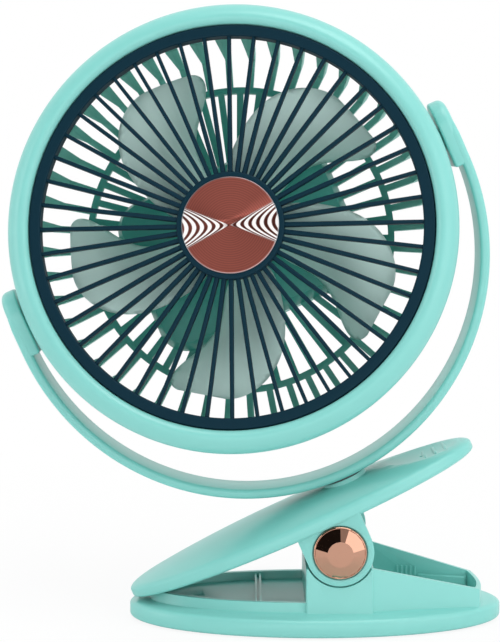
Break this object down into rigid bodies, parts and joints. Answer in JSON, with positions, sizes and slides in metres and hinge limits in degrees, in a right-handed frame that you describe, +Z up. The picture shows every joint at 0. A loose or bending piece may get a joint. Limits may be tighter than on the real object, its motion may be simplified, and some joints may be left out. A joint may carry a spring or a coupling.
{
  "type": "clip fan",
  "caption": "Clip-on desk fan: spring clip with tray that also stands, C-shaped swivelling yoke, round tilting head with spoked guard and paddle impeller",
  "frame": {"origin": "middle of the underside of the non-slip pad under the base", "axes": "+Z up, +X to the right as the fan is seen from the front, towards the clip's handle; the fan blows towards -Y"},
  "size_m": [0.2004, 0.0846, 0.2458],
  "materials": {
    "mint_shell": "smooth satin gloss moulding",
    "rear_green": "satin moulding, a deeper teal than the front",
    "navy_guard": "smooth dark blue-green moulding",
    "blade_green": "fine matte moulding",
    "rubber_grey": "matte soft rubber",
    "copper_disc": "anodised, turned with fine concentric grooves",
    "rose_metal": "polished rose-gold plating",
    "steel": "plain bright steel",
    "cell_wrap": "shrink sleeve",
    "board_green": "solder mask",
    "button_white": "smooth moulding",
    "lens_clear": "clear light guide"
  },
  "bodies": {
    "base": {"base_plate": "mint_shell", "base_pad": "rubber_grey", "hinge_pin": "steel", "pivot_cap_front": "rose_metal", "pivot_cap_rear": "rose_metal", "torsion_spring": "steel"},
    "jaw": {"upper_jaw": "mint_shell", "jaw_pad": "rubber_grey", "swivel_ring": "rubber_grey"},
    "yoke": {"yoke_arm": "mint_shell", "swivel_washer": "steel", "swivel_screw": "steel", "tilt_washers": "rubber_grey", "tilt_screws": "steel"},
    "head": {"front_bezel": "mint_shell", "front_grille": "navy_guard", "hub_disc": "copper_disc", "rear_shell": "mint_shell", "rear_grille": "rear_green", "pod_cover": "rear_green", "cover_screws": "steel", "motor": "steel", "battery": "cell_wrap", "control_board": "board_green", "charge_port": "steel", "indicator_lenses": "lens_clear"},
    "impeller": {"impeller": "blade_green", "motor_shaft": "steel"},
    "button": {"speed_button": "button_white"}
  },
  "joints": [
    {"name": "clip_hinge", "type": "hinge", "parent": "base", "child": "jaw", "pos_m": [0.0088, 0, 0.0328], "axis": [0, 1, 0], "range_deg": [0, 34], "stiffness_Nm_per_rad": 1.2, "springref_deg": -25.78, "deforming": ["torsion_spring"]},
    {"name": "yoke_swivel", "type": "hinge", "parent": "jaw", "child": "yoke", "pos_m": [0.01136, 0, 0.05802], "axis": [-0.4067, 0, 0.9135], "continuous": true},
    {"name": "head_tilt", "type": "hinge", "parent": "yoke", "child": "head", "pos_m": [-0.0324, 0, 0.15632], "axis": [0.9135, 0, 0.4067], "continuous": true},
    {"name": "fan_spin", "type": "hinge", "parent": "head", "child": "impeller", "pos_m": [-0.0324, 0, 0.15632], "axis": [-0.0846, -0.9781, 0.1899], "continuous": true},
    {"name": "speed_button_press", "type": "slide", "parent": "head", "child": "button", "axis": [-0.0846, -0.9781, 0.1899], "range_m": [0, 0.0008], "stiffness_N_per_m": 600, "springref_m": -0.0005}
  ]
}
